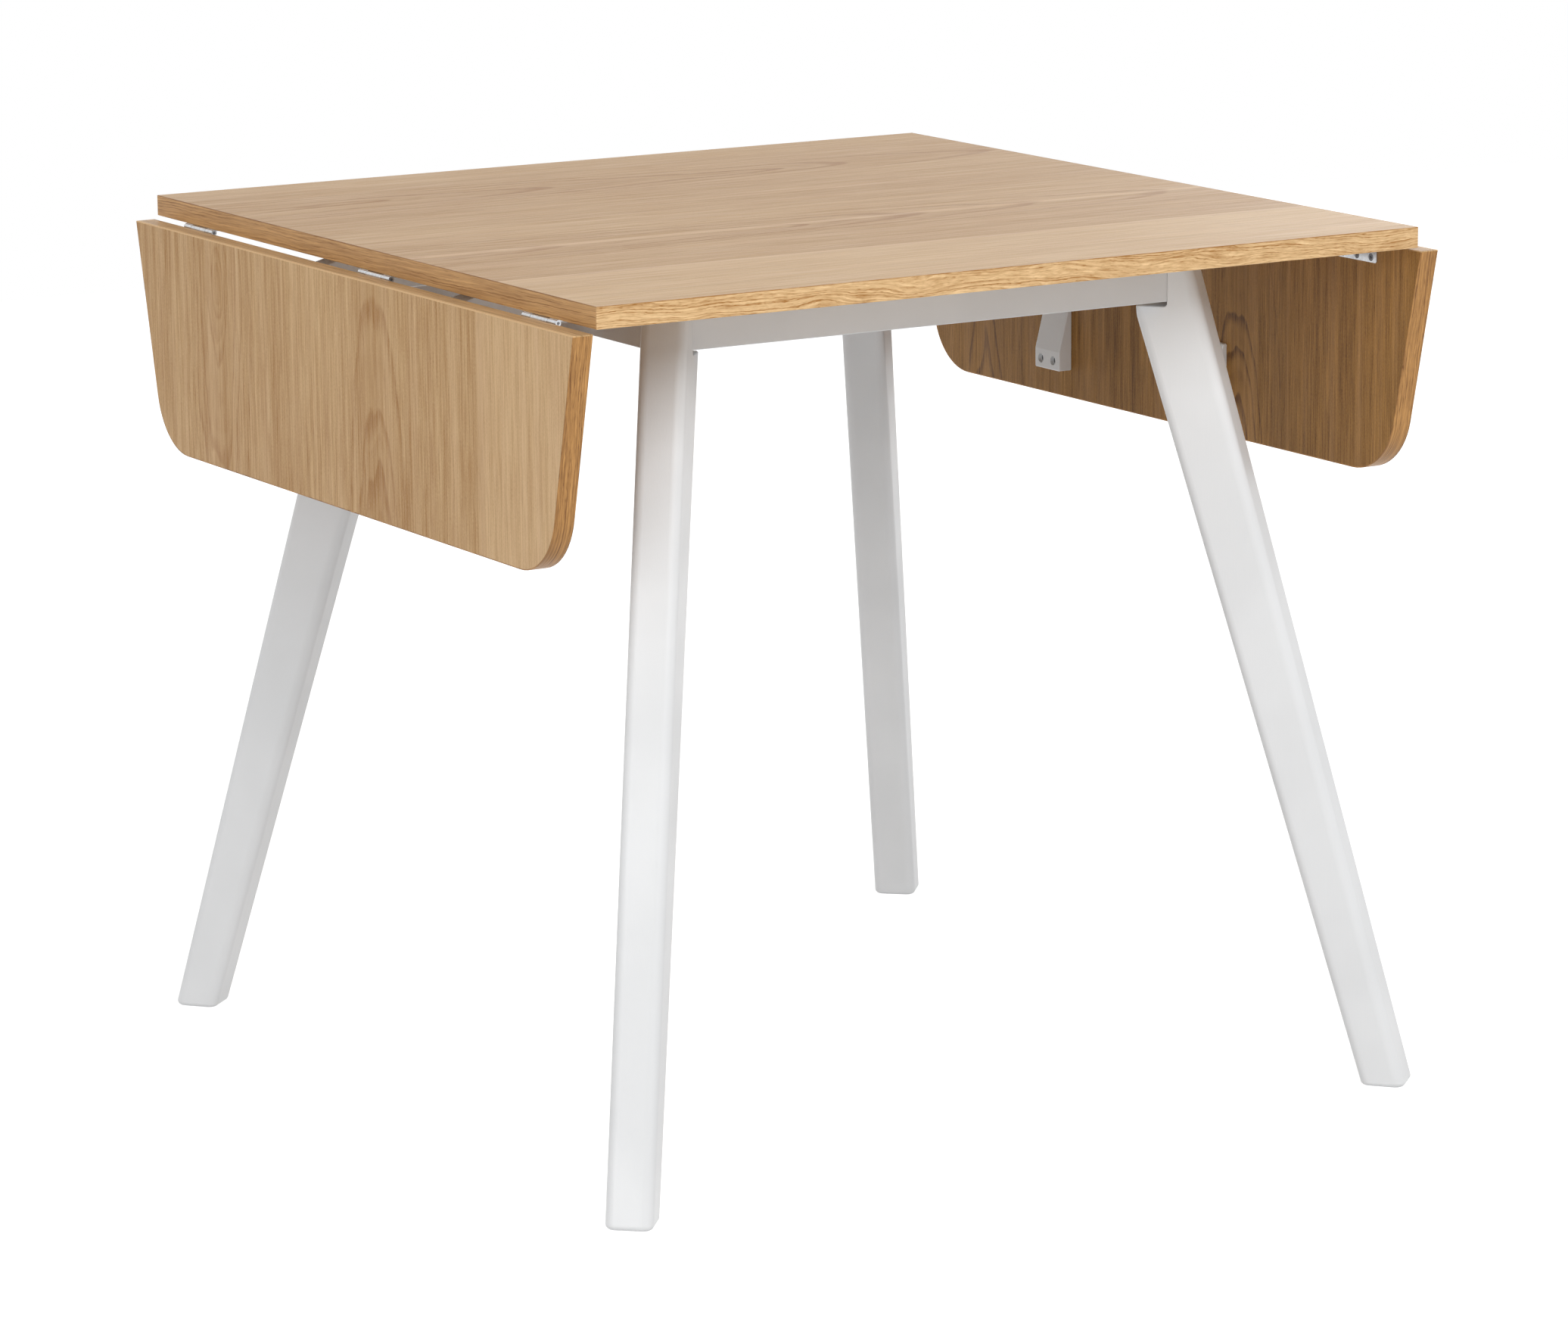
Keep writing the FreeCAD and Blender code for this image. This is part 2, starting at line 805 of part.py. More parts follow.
def save_bars():
    for side, degrees, sign in SIDES:
        for place in bar_places:
            end = end_name(sign * place)
            save("support_bar_%s_%s" % (side, end), [turned(support_bar(place), degrees)])
            pegs = [turned(peg, degrees) for peg in stop_pegs(place)]
            save("stop_pegs_%s_%s" % (side, end), pegs)


os.makedirs("parts", exist_ok=True)
save_frame()
save_leg_fixings()
save_hinges()
save_leaves()
save_bars()
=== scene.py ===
import math

import bpy
from mathutils import Euler, Matrix, Vector

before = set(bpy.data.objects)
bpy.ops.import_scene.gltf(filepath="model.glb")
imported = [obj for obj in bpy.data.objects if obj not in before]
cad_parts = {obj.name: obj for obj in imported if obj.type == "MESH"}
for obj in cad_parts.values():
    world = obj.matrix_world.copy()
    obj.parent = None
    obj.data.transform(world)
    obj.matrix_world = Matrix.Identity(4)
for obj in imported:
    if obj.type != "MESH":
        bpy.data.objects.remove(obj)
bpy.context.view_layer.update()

# A drop-leaf table. Metres; +Z is up, -Y is the front, the leaves hang at -X and +X.
# Every visible piece is a solid of the frame; this script gives the solids their materials and
# adds the floor, the lights and the camera.

# ---------------------------------------------------------------- colours

# sRGB values from 0 to 255; a pair is the light and the dark of one wood
VENEER = ((219, 182, 129), (154, 100, 8))
# painted shade: the inner veneer is partly a darker backing veneer and partly darkened for the
# face that hangs in the shade under the table
INNER_VENEER_AND_SHADE = ((190, 141, 76), (82, 47, 8))
VENEER_PINK = (216, 178, 146)
FRONT_EDGE = ((250, 214, 162), (168, 116, 56))
SIDE_EDGE = ((218, 170, 110), (138, 90, 32))
LEAF_BAND = ((214, 160, 96), (116, 74, 34))
LEAF_JOINT = ((224, 184, 132), (128, 90, 46))
PAINT = (237, 238, 239)
PAINT_SHADE = (232, 233, 234)
BEECH = (214, 182, 142)
BEECH_FLECK = 0.78              # a fleck's share of the beech's colour
ZINC = (211, 213, 216)
STEEL = (122, 122, 125)
METAL_SHADE = 0.92              # the darker clouds' share of the metal's colour
FLOOR = (216, 216, 216)

# ---------------------------------------------------------------- veneer

# The strips of each board, from front to back: where the strip starts across the grain, the
# middle of its figure, the place along the grain where the figure is widest, how fast it
# closes, and the strip's tone
BOARD_SPAN = (-0.45, 0.45)
TOP_STRIPS = (
    (-0.45, -0.460, 0.30, 0.06, -0.17),
    (-0.246, -0.246, 0.90, 0.02, -0.30),
    (-0.238, -0.086, -0.62, 0.07, 0.14),
    (-0.088, -0.086, -0.62, 0.07, -0.22),
    (-0.078, -0.086, -0.62, 0.07, 0.04),
    (0.050, 0.246, -0.75, 0.06, 0.10),
    (0.342, 0.460, 0.90, 0.04, 0.02),
)
LEFT_LEAF_STRIPS = (
    (-0.45, -0.560, 0.40, 0.05, -0.19),
    (-0.250, -0.246, 0.90, 0.02, -0.20),
    (-0.240, -0.062, 0.29, 0.13, 0.03),
    (0.046, 0.046, 0.90, 0.02, -0.16),
    (0.056, 0.236, 0.693, 0.16, 0.04),
    (0.342, 0.460, 0.90, 0.04, 0.02),
)
RIGHT_LEAF_STRIPS = (
    (-0.45, -0.133, 0.48, 0.21, -0.02),
    (-0.020, -0.160, 0.90, 0.02, 0.08),
    (0.130, 0.277, 0.40, 0.18, -0.06),
)

# Eyes in the figure: the middle along and across the grain, half the length, half the width
TOP_EYES = (
    (0.108, 0.238, 0.050, 0.010),
    (-0.097, -0.088, 0.060, 0.012),
    (-0.270, 0.256, 0.045, 0.010),
)
LEFT_LEAF_EYES = ((0.688, 0.236, 0.026, 0.013),)
RIGHT_LEAF_EYES = ((0.610, 0.277, 0.030, 0.012),)

# The veneered boards. flame: how dark the figure is; contrast: how strong the fine grain is;
# inner_face: 1 where the face that hangs towards the table has the darker inner veneer, which
# is partly a darker backing veneer and partly painted shade for a face under the table
VENEERS = {
    "top": {
        "along": "x",
        "across": "y",
        "strips": TOP_STRIPS,
        "eyes": TOP_EYES,
        "flame": 0.34,
        "contrast": 0.65,
        "gloss": 0.35,
        "inner_face": 0.0,
        "seed": 2.0,
    },
    "left_leaf": {
        "along": "z",
        "across": "y",
        "strips": LEFT_LEAF_STRIPS,
        "eyes": LEFT_LEAF_EYES,
        "flame": 0.25,
        "contrast": 1.0,
        "gloss": 0.35,
        "inner_face": 1.0,
        "seed": 5.0,
    },
    "right_leaf": {
        "along": "z",
        "across": "y",
        "strips": RIGHT_LEAF_STRIPS,
        "eyes": RIGHT_LEAF_EYES,
        "flame": 0.36,
        "contrast": 0.8,
        "gloss": 0.18,
        "inner_face": 1.0,
        "seed": 9.0,
    },
}
LEAF_CORE = 0.4105              # from the table's middle to the middle of a leaf's thickness
LEAF_CORE_BLUR = 0.001

# Each layer of noise is drawn out along the grain: its scales in the two directions, the shift
# of its seed, its detail and its roughness
VENEER_NOISE = {
    "waver": (6.0, 15.0, 0.0, 2.0, 0.5),
    "stray": (9.0, 40.0, 3.0, 2.0, 0.5),
    "pores": (45.0, 1100.0, 7.0, 2.0, 0.5),
    "flecks": (420.0, 1500.0, 9.0, 1.0, 0.7),
    "lines": (26.0, 800.0, 11.0, 2.0, 0.6),
    "fibres": (9.0, 330.0, 13.0, 2.0, 0.6),
    "bands": (4.0, 125.0, 15.0, 2.0, 0.5),
    "streaks": (1.4, 42.0, 17.0, 3.0, 0.6),
    "cloud": (3.0, 9.0, 19.0, 2.0, 0.5),
}

# The flame figure. A map has four numbers: a value between the first two becomes one between
# the last two
FIGURE_DEPTH = 0.010            # the rings' middle below the face, where the figure is widest
FIGURE_TIP = 0.0006             # rounds the figure where it is widest, in square metres
FIGURE_FADE = (0.010, 0.095, 1.0, 0.06)     # a map: its strength, away from its middle
FIGURE_CORE = (0.008, 0.017, 0.30, 1.0)     # a map: the strength of the innermost rings
WAVER_REACH = 0.022             # how far the waver and the stray push the figure sideways
STRAY_REACH = 0.010
STRAY_RUN = 0.06                # how far the stray pushes it along the grain
EYE_RISE = 0.007                # how far the rings rise under an eye
EYE_STRENGTH = 0.5              # what an eye adds to the figure's strength
EYE_FALL = 0.7                  # how fast an eye fades around its middle
RING_WIDTH = 0.0048
RING_STRAY = 0.012
RING_NOISE = (70.0, 1.0, 5.0, 1.0)          # a layer across the rings and along the grain
RING_CHANCE = (0.25, 1.0)       # the random numbers of the faintest and of the strongest ring
RING_FAINTEST = 0.12
EARLY_WOOD = (0.10, 0.80)       # where it begins and where it is darkest, as shares of a ring

# How dark each layer makes the veneer, from 0, light, to 1, dark
VENEER_BASE = 0.42
FINE_SHADES = {"flecks": 0.70, "lines": 0.95, "fibres": 1.00, "bands": 0.70}
PORE_SHADE = 0.40
PORE_CUT = (0.50, 0.66)         # the noise at a pore's rim and at its middle
PORES_EVERYWHERE = 0.35         # the pores' strength outside the early wood
PORES_EARLY = 0.8               # what the early wood adds to it
STREAK_SHADE = 0.50
CLOUD_SHADE = 0.60
CALM = 0.60                     # the share of the fine grain's contrast in the figure's middle
CALM_REACH = 0.05
PINK_STREAK = (0.58, 0.30, 0.0, 0.12)       # a map: the pink of the light streaks
PINK_STRIP = (-0.12, -0.30, 0.0, 0.3)       # a map: the pink of the light strips

# ---------------------------------------------------------------- solid oak edges

# The thin line at an edge's rim: an axis, the distance along it where the line starts, and how
# much darker the line is
GLUE_LINE = ("z", 0.7492, 0.50)
# painted highlight: a light line along the leaf's outer arris, where the arris catches the light
PAINTED_HIGHLIGHT_RIM = ("x", 0.4186, -0.90)
BAND_RIM = ("x", 0.4188, 0.15)
RIM_BLUR = 0.0004

# The edges. run: the axes whose sum runs along the grain; slant: how fast the rings leave the
# edge; flame: how far they swell; dash: how short the grain lines are; contrast: of the rings
EDGES = {
    "front_edge": {
        "run": "x",
        "across": "z",
        "colours": FRONT_EDGE,
        "slant": 0.03,
        "flame": 0.015,
        "dash": 55.0,
        "contrast": 0.45,
        "rim": GLUE_LINE,
        "seed": 1.0,
    },
    "side_edge": {
        "run": "y",
        "across": "z",
        "colours": SIDE_EDGE,
        "slant": 0.02,
        "flame": 0.004,
        "dash": 14.0,
        "contrast": 0.30,
        "rim": GLUE_LINE,
        "seed": 3.0,
    },
    "leaf_joint": {
        "run": "y",
        "across": "x",
        "colours": LEAF_JOINT,
        "slant": 0.02,
        "flame": 0.003,
        "dash": 14.0,
        "contrast": 0.30,
        # a painted highlight along the leaf's outer arris
        "rim": PAINTED_HIGHLIGHT_RIM,
        "seed": 7.0,
    },
    "leaf_band": {
        "run": "yz",
        "across": "x",
        "colours": LEAF_BAND,
        "slant": 0.05,
        "flame": 0.006,
        "dash": 45.0,
        "contrast": 0.30,
        "rim": BAND_RIM,
        "seed": 5.0,
    },
}

# The layers of noise of an edge, as for the veneer
EDGE_SWELL = (13.0, 45.0, 0.0, 1.0)
EDGE_SHAKE = (80.0, 300.0, 2.0, 2.0)
EDGE_CLOUD = (9.0, 90.0, 6.0, 3.0)
EDGE_RING_NOISE = (300.0, 6.0, 3.0, 1.0)    # across the rings and along the grain
EDGE_GRAIN = (650.0, 4.0, 3.0, 0.6)         # without its scale along the grain, the dash
EDGE_PORES = (1500.0, 5.0, 1.0)             # the same
EDGE_PORE_DASH = 3              # how much shorter a pore is than a grain line

# The rings of an edge, and how dark each layer makes it
EDGE_SHAKE_REACH = 0.0018       # how far the rings shake
EDGE_RING_WIDTH = 0.0026
EDGE_RING_STRAY = 0.004
EDGE_RING_FAINTEST = 0.15
EDGE_RING_CHANCE = 0.9          # what a ring's random number adds to it
EDGE_EARLY_WOOD = (0.25, 0.85)
EDGE_BASE = 0.34
EDGE_GRAIN_SHADE = 1.50
EDGE_PORE_SHADE = 0.40
EDGE_PORE_CUT = (0.52, 0.70)
EDGE_PORES_EVERYWHERE = 0.40    # the pores' strength outside the early wood
EDGE_CLOUD_SHADE = 0.60
EDGE_GLOSS = 0.3
EDGE_ROUGHNESS = 0.42

# ---------------------------------------------------------------- paint, beech and metal

# Noise in space: its scales along x, y and z, and its detail
PAINT_GRAIN = ((700.0, 700.0, 45.0), 3.0)
PAINT_CLOUD = ((9.0, 9.0, 9.0), 2.0)
BEECH_GRAIN = ((500.0, 500.0, 160.0), 2.0)
METAL_CLOUD = ((260.0, 260.0, 260.0), 3.0)
METAL_SCRATCH = ((2600.0, 160.0, 2600.0), 1.0)

# The noise at which the darker colour begins, and at which it is full
PAINT_SHADING = (0.35, 0.65)
BEECH_SHADING = (0.5, 0.72)
METAL_SHADING = (0.35, 0.7)

# ---------------------------------------------------------------- relief and roughness

WOOD_RELIEF = 0.00006           # the height of the bump, in metres
PAINT_RELIEF = 0.00006
BEECH_RELIEF = 0.00003
SCRATCH_RELIEF = 0.000003
LINES_RAISED = 0.4              # the height of the veneer's lines, as a share of a pore's depth
EDGE_RINGS_SUNK = 0.3           # the same for the depth of an edge's rings
VENEER_ROUGHNESS = (0.36, 0.44)
PAINT_ROUGHNESS = (0.34, 0.42)
ZINC_ROUGHNESS = (0.12, 0.20)
STEEL_ROUGHNESS = (0.20, 0.34)
BEECH_ROUGHNESS = 0.6
MOST_NOISE = (0.3, 0.7)         # most noise lies between these

# ---------------------------------------------------------------- studio and camera

FLOOR_HALF = 4.5
FLOOR_ROUGHNESS = 0.9
FLOOR_GLOW = 0.80               # seen by the camera and in reflections only
WHITE = (1.0, 1.0, 1.0, 1.0)
WORLD_LIGHT = 0.33
WORLD_SEEN = 1.0                # seen by the camera and in reflections only

# Softboxes round the table: degrees turned from the front to the right, degrees up, and watts
SOFTBOXES = {
    "front": (-10.0, 35.0, 168.0),
    "right": (62.0, 8.0, 38.0),
    "left": (-60.0, 6.0, 70.0),
    "back_right": (125.0, 30.0, 58.0),
    "back_left": (-125.0, 30.0, 47.0),
}
SOFTBOX_SIZE = 3.0
SOFTBOX_DISTANCE = 6.0
TABLE_MIDDLE = (0.0, 0.0, 0.45)

# The camera; its angles are in degrees
CAMERA_PLACE = (-2.57508, -4.27915, 1.42680)
CAMERA_YAW = 31.13              # to the right of +Y
CAMERA_PITCH = 12.267           # below the horizon
CAMERA_ROLL = -0.465
CAMERA_LENS = 132.42            # millimetres, as the sensor's width is
SENSOR_WIDTH = 36.0
CAMERA_REACH = 100.0


def linear(colour):
    """An sRGB colour from 0 to 255 as a linear colour with alpha."""
    def channel(value):
        value /= 255
        return value / 12.92 if value <= 0.04045 else ((value + 0.055) / 1.055) ** 2.4
    return tuple(channel(value) for value in colour) + (1.0,)


def darker(colour, share):
    """A share of an sRGB colour, as a linear colour."""
    return linear(tuple(value * share for value in colour))


# ---------------------------------------------------------------- shader graphs


class Graph:
    """A material with short ways to add and join nodes."""

    def __init__(self, name):
        self.material = bpy.data.materials.new(name)
        self.material.use_nodes = True
        self.tree = self.material.node_tree
        self.shader = next(n for n in self.tree.nodes if n.type == "BSDF_PRINCIPLED")

    def put(self, socket, value):
        """Join a socket to another, or set it to a value."""
        if isinstance(value, bpy.types.NodeSocket):
            self.tree.links.new(value, socket)
        else:
            socket.default_value = value

    def add(self, kind, inputs=None, **settings):
        node = self.tree.nodes.new(kind)
        for name, value in settings.items():
            setattr(node, name, value)
        for name, value in (inputs or {}).items():
            self.put(node.inputs[name], value)
        return node

    def math(self, operation, *values):
        node = self.add("ShaderNodeMath", operation=operation)
        for socket, value in zip(node.inputs, values):
            self.put(socket, value)
        return node.outputs[0]

    def sum(self, *values):
        total = values[0]
        for value in values[1:]:
            total = self.math("ADD", total, value)
        return total

    def scaled(self, value, factor):
        return self.math("MULTIPLY", value, factor)

    def square(self, value):
        return self.math("MULTIPLY", value, value)

    def swing(self, noise, reach):
        """Noise from 0 to 1, as a swing to both sides of 0."""
        return self.scaled(self.sum(noise, -0.5), reach)

    def held(self, value):
        """A value that is kept from 0 to 1."""
        return self.math("MINIMUM", self.math("MAXIMUM", value, 0.0), 1.0)

    def spread(self, value, low, high, to_low=0.0, to_high=1.0):
        """A value from low to high, mapped smoothly to one from to_low to to_high."""
        node = self.add("ShaderNodeMapRange", interpolation_type="SMOOTHSTEP")
        for socket, number in zip(node.inputs, (value, low, high, to_low, to_high)):
            self.put(socket, number)
        return node.outputs[0]

    def place(self):
        """The place in the piece's own space, as x, y and z."""
        coordinates = self.add("ShaderNodeTexCoord").outputs["Object"]
        parts = self.add("ShaderNodeSeparateXYZ", {"Vector": coordinates}).outputs
        return {"x": parts[0], "y": parts[1], "z": parts[2]}

    def noise(self, x, y, z, detail=2.0, roughness=0.5):
        """Noise from 0 to 1 at coordinates that already carry their own scales."""
        vector = self.add("ShaderNodeCombineXYZ", {"X": x, "Y": y, "Z": z}).outputs[0]
        inputs = {"Vector": vector, "Scale": 1.0, "Detail": detail, "Roughness": roughness}
        return self.add("ShaderNodeTexNoise", inputs).outputs["Fac"]

    def noise_layer(self, first, second, seed, layer):
        """One layer of noise at two coordinates."""
        by_first, by_second, shift, *texture = layer
        x, y = self.scaled(first, by_first), self.scaled(second, by_second)
        return self.noise(x, y, seed + shift, *texture)

    def noise_in_space(self, place, scales, detail):
        """Noise from 0 to 1 at a place, with a scale for each of x, y and z."""
        scaled = [self.scaled(place[axis], scale) for axis, scale in zip("xyz", scales)]
        return self.noise(*scaled, detail)

    def random(self, value):
        """A random number from 0 to 1 that depends on a value."""
        node = self.add("ShaderNodeTexWhiteNoise", {"W": value}, noise_dimensions="1D")
        return self.add("ShaderNodeSeparateColor", {"Color": node.outputs["Color"]}).outputs[0]

    def early_wood(self, rings, begin, peak):
        """Rises from begin to peak across each growth ring, and falls to the ring's end."""
        ring = self.math("FRACT", rings)
        fall = self.spread(ring, peak, 1.0)
        return self.math("SUBTRACT", self.spread(ring, begin, peak), fall)

    def random_ring(self, rings, seed):
        """A random number from 0 to 1 for each growth ring."""
        return self.random(self.sum(self.math("FLOOR", rings), seed))

    def lookup(self, value, low, high, rows):
        """Four numbers that change in steps with a value: each row is a start and the four."""
        node = self.add("ShaderNodeValToRGB")
        ramp = node.color_ramp
        ramp.interpolation = "CONSTANT"
        for index, (start, *numbers) in enumerate(rows):
            place = (start - low) / (high - low)
            stop = ramp.elements[0] if index == 0 else ramp.elements.new(place)
            stop.position = place
            stop.color = [number + 1.0 for number in numbers]
        ramp.elements.remove(ramp.elements[-1])
        self.put(node.inputs["Fac"], self.scaled(self.sum(value, -low), 1 / (high - low)))
        parts = self.add("ShaderNodeSeparateColor", {"Color": node.outputs["Color"]}).outputs
        return [self.sum(part, -1.0) for part in (*parts, node.outputs["Alpha"])]

    def blend(self, factor, first, second):
        node = self.add("ShaderNodeMix", data_type="RGBA")
        self.put(node.inputs["Factor"], factor)
        colours = [socket for socket in node.inputs if socket.type == "RGBA"]
        self.put(colours[0], first)
        self.put(colours[1], second)
        return next(socket for socket in node.outputs if socket.type == "RGBA")

    def swelling(self, x, y, middle_x, middle_y, half_x, half_y):
        """1 at the middle of an oval, falling smoothly to 0 around it."""
        far_x = self.scaled(self.sum(x, -middle_x), 1 / half_x)
        far_y = self.scaled(self.sum(y, -middle_y), 1 / half_y)
        far = self.sum(self.square(far_x), self.square(far_y))
        return self.math("EXPONENT", self.scaled(far, -EYE_FALL))

    def bump(self, height, distance):
        inputs = {"Height": height, "Distance": distance}
        return self.add("ShaderNodeBump", inputs).outputs["Normal"]

    def finish(self, **sockets):
        """Join or set the shader's sockets, by their names."""
        for name, value in sockets.items():
            self.put(self.shader.inputs[name.replace("_", " ")], value)
        return self.material


# ---------------------------------------------------------------- materials


def flame_figure(g, length, width, strips, eyes, noise, seed):
    """Growth rings, cut by the face so that they close into arches or eyes.

    Gives the early wood, the distance from the figure's middle and the strip's tone.
    """
    middle, widest, closing, tone = g.lookup(width, *BOARD_SPAN, strips)
    sway = g.sum(g.swing(noise["waver"], WAVER_REACH), g.swing(noise["stray"], STRAY_REACH))
    sideways = g.sum(width, g.scaled(middle, -1.0), sway)

    # The rings are circles about a line that dips below the face, away from the widest place
    run = g.sum(length, g.scaled(widest, -1.0))
    run = g.math("SQRT", g.sum(g.square(run), FIGURE_TIP))
    depth = g.math("MULTIPLY", g.sum(run, g.swing(noise["stray"], STRAY_RUN)), closing)
    depth = g.sum(depth, FIGURE_DEPTH)
    radius = g.math("SQRT", g.sum(g.square(sideways), g.square(depth)))
    eye = g.sum(*(g.swelling(length, g.sum(width, sway), *place) for place in eyes))
    radius = g.sum(radius, g.scaled(eye, -EYE_RISE))

    uneven = g.noise_layer(radius, length, seed, RING_NOISE)
    rings = g.scaled(g.sum(radius, g.scaled(uneven, RING_STRAY)), 1 / RING_WIDTH)
    early = g.early_wood(rings, *EARLY_WOOD)
    strength = g.spread(g.random_ring(rings, seed), *RING_CHANCE)
    strength = g.math("MULTIPLY", strength, g.spread(radius, *FIGURE_CORE))
    away = g.math("ABSOLUTE", sideways)
    fade = g.sum(g.spread(away, *FIGURE_FADE), g.scaled(eye, EYE_STRENGTH))
    early = g.math("MULTIPLY", early, g.math("MULTIPLY", fade, g.sum(strength, RING_FAINTEST)))
    return early, away, tone


def veneer_colour(g, place, dark, streaks, tone, inner_face):
    """From the light to the dark of the veneer, with pink streaks and a darker inner face.

    The inner face's darkness is partly a darker backing veneer and partly painted shade.
    """
    from_middle = g.math("ABSOLUTE", place["x"])
    # the inner face gets the darker colours: backing veneer and painted shade under the table
    core = (LEAF_CORE - LEAF_CORE_BLUR, LEAF_CORE + LEAF_CORE_BLUR)
    inner = g.math("MULTIPLY", g.spread(from_middle, *core, 1.0, 0.0), inner_face)
    light_end, dark_end = (
        g.blend(inner, linear(outside), linear(inside))
        for outside, inside in zip(VENEER, INNER_VENEER_AND_SHADE)
    )
    pink = g.sum(g.spread(streaks, *PINK_STREAK), g.spread(tone, *PINK_STRIP))
    return g.blend(pink, g.blend(dark, light_end, dark_end), linear(VENEER_PINK))


def veneer(name, along, across, strips, eyes, flame, contrast, gloss, inner_face, seed):
    """Crown-cut oak veneer: strips with a flame figure, fine straight grain between them."""
    g = Graph(name)
    place = g.place()
    length, width = place[along], place[across]
    noise = {
        kind: g.noise_layer(length, width, seed, layer) for kind, layer in VENEER_NOISE.items()
    }
    early, away, tone = flame_figure(g, length, width, strips, eyes, noise, seed)

    pore = g.spread(noise["pores"], *PORE_CUT)
    pore = g.math("MULTIPLY", pore, g.sum(g.scaled(early, PORES_EARLY), PORES_EVERYWHERE))
    calm = g.spread(away, 0.0, CALM_REACH, CALM * contrast, contrast)
    fine = g.sum(*(g.swing(noise[kind], shade) for kind, shade in FINE_SHADES.items()))
    dark = g.sum(
        VENEER_BASE,
        tone,
        g.scaled(early, flame),
        g.scaled(pore, PORE_SHADE),
        g.math("MULTIPLY", fine, calm),
        g.swing(noise["streaks"], STREAK_SHADE * contrast),
        g.swing(noise["cloud"], CLOUD_SHADE * contrast),
    )
    relief = g.sum(g.scaled(pore, -1.0), g.scaled(noise["lines"], LINES_RAISED))
    return g.finish(
        Base_Color=veneer_colour(g, place, g.held(dark), noise["streaks"], tone, inner_face),
        Roughness=g.spread(noise["fibres"], *MOST_NOISE, *VENEER_ROUGHNESS),
        Normal=g.bump(relief, WOOD_RELIEF),
        Specular_IOR_Level=gloss,
    )


def solid_oak(name, run, across, colours, slant, flame, dash, contrast, rim, seed):
    """Solid oak edge: grain lines that run along it, with a flame where they swell and close."""
    g = Graph(name)
    place = g.place()
    length = g.sum(*(place[axis] for axis in run))
    width = place[across]

    height = g.sum(
        width,
        g.scaled(length, slant),
        g.scaled(g.noise_layer(length, width, seed, EDGE_SWELL), flame),
        g.scaled(g.noise_layer(length, width, seed, EDGE_SHAKE), EDGE_SHAKE_REACH),
    )
    uneven = g.noise_layer(height, length, seed, EDGE_RING_NOISE)
    rings = g.scaled(g.sum(height, g.scaled(uneven, EDGE_RING_STRAY)), 1 / EDGE_RING_WIDTH)
    strength = g.scaled(g.random_ring(rings, seed), EDGE_RING_CHANCE)
    strength = g.sum(strength, EDGE_RING_FAINTEST)
    early = g.math("MULTIPLY", g.early_wood(rings, *EDGE_EARLY_WOOD), strength)

    grain = g.noise_layer(length, height, seed, (dash, *EDGE_GRAIN))
    pores = g.noise_layer(length, height, seed, (dash * EDGE_PORE_DASH, *EDGE_PORES))
    pore = g.spread(pores, *EDGE_PORE_CUT)
    pore_shade = g.sum(early, EDGE_PORES_EVERYWHERE)
    pore_shade = g.math("MULTIPLY", g.scaled(pore, EDGE_PORE_SHADE), pore_shade)
    cloud = g.noise_layer(length, width, seed, EDGE_CLOUD)
    # The rim line: a dark glue line on the top's edges, a painted highlight on the leaf joint's
    # arris, a darker line on the leaf band
    axis, begin, shade = rim
    dark = g.sum(
        EDGE_BASE,
        g.scaled(early, contrast),
        g.swing(grain, EDGE_GRAIN_SHADE),
        pore_shade,
        g.swing(cloud, EDGE_CLOUD_SHADE),
        g.spread(g.math("ABSOLUTE", place[axis]), begin, begin + RIM_BLUR, 0.0, shade),
    )
    relief = g.sum(g.scaled(pore, -1.0), g.scaled(early, -EDGE_RINGS_SUNK))
    return g.finish(
        Base_Color=g.blend(g.held(dark), *(linear(colour) for colour in colours)),
        Roughness=EDGE_ROUGHNESS,
        Specular_IOR_Level=EDGE_GLOSS,
        Normal=g.bump(relief, WOOD_RELIEF),
    )


def painted(name):
    """White satin paint over planed wood, whose grain just shows through."""
    g = Graph(name)
    place = g.place()
    grain = g.noise_in_space(place, *PAINT_GRAIN)
    cloud = g.noise_in_space(place, *PAINT_CLOUD)
    shade = g.spread(cloud, *PAINT_SHADING)
    return g.finish(
        Base_Color=g.blend(shade, linear(PAINT), linear(PAINT_SHADE)),
        Roughness=g.spread(cloud, *MOST_NOISE, *PAINT_ROUGHNESS),
        Normal=g.bump(grain, PAINT_RELIEF),
    )


def beech(name):
    """Bare planed beech with its short dark flecks."""
    g = Graph(name)
    flecks = g.noise_in_space(g.place(), *BEECH_GRAIN)
    shade = g.spread(flecks, *BEECH_SHADING)
    return g.finish(
        Base_Color=g.blend(shade, linear(BEECH), darker(BEECH, BEECH_FLECK)),
        Roughness=BEECH_ROUGHNESS,
        Normal=g.bump(flecks, BEECH_RELIEF),
    )


def metal(name, colour, roughness):
    """Plated or plain steel with cloudy gloss and fine scratches."""
    g = Graph(name)
    place = g.place()
    cloud = g.noise_in_space(place, *METAL_CLOUD)
    scratch = g.noise_in_space(place, *METAL_SCRATCH)
    shade = g.spread(cloud, *METAL_SHADING)
    return g.finish(
        Base_Color=g.blend(shade, linear(colour), darker(colour, METAL_SHADE)),
        Metallic=1.0,
        Roughness=g.spread(cloud, *MOST_NOISE, *roughness),
        Normal=g.bump(scratch, SCRATCH_RELIEF),
    )


# ---------------------------------------------------------------- materials on the nodes


def dress(material, *starts):
    """Put a material on the nodes whose names start so."""
    for name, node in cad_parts.items():
        if not name.startswith(starts):
            continue
        if not node.material_slots:
            node.data.materials.append(material)
        for slot in node.material_slots:
            slot.material = material


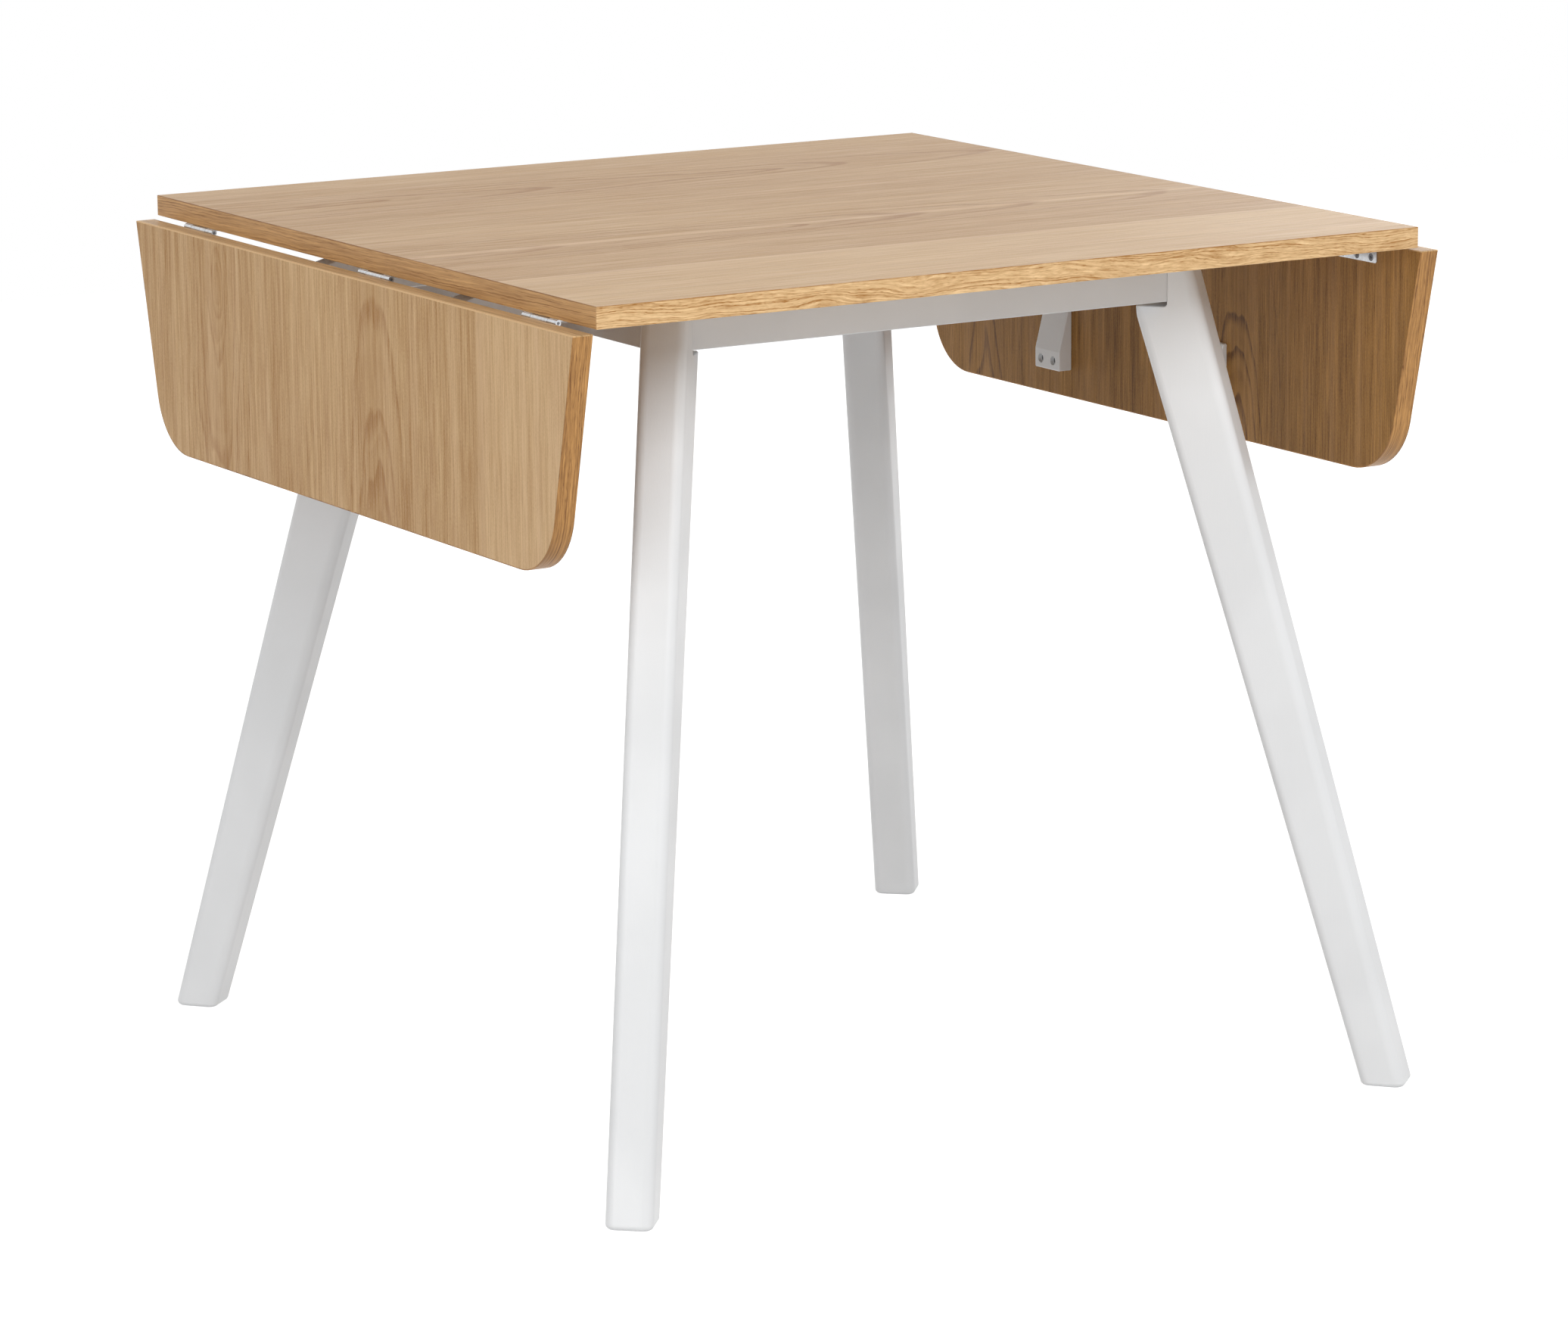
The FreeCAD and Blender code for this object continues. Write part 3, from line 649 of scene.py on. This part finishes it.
def dress_table():
    dress(veneer("top", **VENEERS["top"]), "top_panel")
    dress(veneer("left_leaf", **VENEERS["left_leaf"]), "leaf_panel_left")
    dress(veneer("right_leaf", **VENEERS["right_leaf"]), "leaf_panel_right")
    front_edge = solid_oak("front_edge", **EDGES["front_edge"])
    side_edge = solid_oak("side_edge", **EDGES["side_edge"])
    dress(front_edge, "top_lipping_front", "top_lipping_back")
    dress(side_edge, "top_lipping_left", "top_lipping_right")
    dress(solid_oak("leaf_joint", **EDGES["leaf_joint"]), "leaf_joint_lipping")
    dress(solid_oak("leaf_band", **EDGES["leaf_band"]), "leaf_edge_band")
    paint = painted("white_paint")
    dress(paint, "apron", "leg_front", "leg_back", "bar_guide", "support_bar", "wedge_block")
    dress(beech("beech"), "corner_block", "stop_pegs")
    zinc = metal("zinc", ZINC, ZINC_ROUGHNESS)
    dress(zinc, "hinge_top_plate", "hinge_leaf_plate", "top_brackets")
    steel = metal("steel", STEEL, STEEL_ROUGHNESS)
    dress(steel, "hinge_pins", "hinge_top_screws", "hinge_leaf_screws", "wedge_screws")
    dress(steel, "top_bracket_screws", "leg_bolts", "leg_nuts", "leg_washers")


# ---------------------------------------------------------------- floor, light and camera


def seen_directly(tree):
    """1 for a ray from the camera or a reflection, 0 for light that spreads."""
    path = tree.nodes.new("ShaderNodeLightPath").outputs
    total = path["Is Camera Ray"]
    for kind in ("Is Glossy Ray", "Is Transmission Ray"):
        either = tree.nodes.new("ShaderNodeMath")
        either.operation = "MAXIMUM"
        tree.links.new(total, either.inputs[0])
        tree.links.new(path[kind], either.inputs[1])
        total = either.outputs[0]
    return total


def add_object(name, data):
    """An object of the scene with this data."""
    thing = bpy.data.objects.new(name, data)
    bpy.context.scene.collection.objects.link(thing)
    return thing


def lay_floor():
    """A plain pale floor."""
    half = FLOOR_HALF
    mesh = bpy.data.meshes.new("floor")
    corners = [(-half, -half, 0), (half, -half, 0), (half, half, 0), (-half, half, 0)]
    mesh.from_pydata(corners, [], [(0, 1, 2, 3)])
    floor = add_object("floor", mesh)
    g = Graph("floor")
    material = g.finish(
        Base_Color=linear(FLOOR),
        Roughness=FLOOR_ROUGHNESS,
        Specular_IOR_Level=0.0,
        Emission_Color=WHITE,
        Emission_Strength=g.scaled(seen_directly(g.tree), FLOOR_GLOW),
    )
    mesh.materials.append(material)


def light_world():
    """White light from everywhere, weak on the object and white where it is seen."""
    world = bpy.data.worlds.new("studio")
    bpy.context.scene.world = world
    world.use_nodes = True
    tree = world.node_tree
    light = next(n for n in tree.nodes if n.type == "BACKGROUND")
    light.inputs["Color"].default_value = WHITE
    strength = tree.nodes.new("ShaderNodeMapRange")
    tree.links.new(seen_directly(tree), strength.inputs["Value"])
    strength.inputs["To Min"].default_value = WORLD_LIGHT
    strength.inputs["To Max"].default_value = WORLD_SEEN
    tree.links.new(strength.outputs[0], light.inputs["Strength"])


def add_softbox(name, turn, height, power):
    """A softbox that faces the table: degrees from the front to the right, degrees up, watts."""
    data = bpy.data.lights.new(name, "AREA")
    data.shape = "SQUARE"
    data.size = SOFTBOX_SIZE
    data.energy = power
    lamp = add_object(name, data)
    turn = math.radians(turn)
    height = math.radians(height)
    level = math.cos(height)
    way = Vector((math.sin(turn) * level, -math.cos(turn) * level, math.sin(height)))
    lamp.location = Vector(TABLE_MIDDLE) + way * SOFTBOX_DISTANCE
    lamp.rotation_euler = (-way).to_track_quat("-Z", "Y").to_euler()


def place_camera():
    """The camera at the solved place."""
    data = bpy.data.cameras.new("camera")
    data.sensor_width = SENSOR_WIDTH
    data.lens = CAMERA_LENS
    data.clip_end = CAMERA_REACH
    camera = add_object("camera", data)
    tilt = math.radians(90 - CAMERA_PITCH)
    aim = Euler((tilt, 0.0, -math.radians(CAMERA_YAW))).to_matrix().to_4x4()
    roll = Matrix.Rotation(math.radians(CAMERA_ROLL), 4, "Z")
    camera.matrix_world = Matrix.Translation(CAMERA_PLACE) @ aim @ roll
    bpy.context.scene.camera = camera


dress_table()
lay_floor()
light_world()
for softbox, (turn, height, power) in SOFTBOXES.items():
    add_softbox(softbox, turn, height, power)
place_camera()
bpy.context.scene.view_settings.view_transform = "Standard"
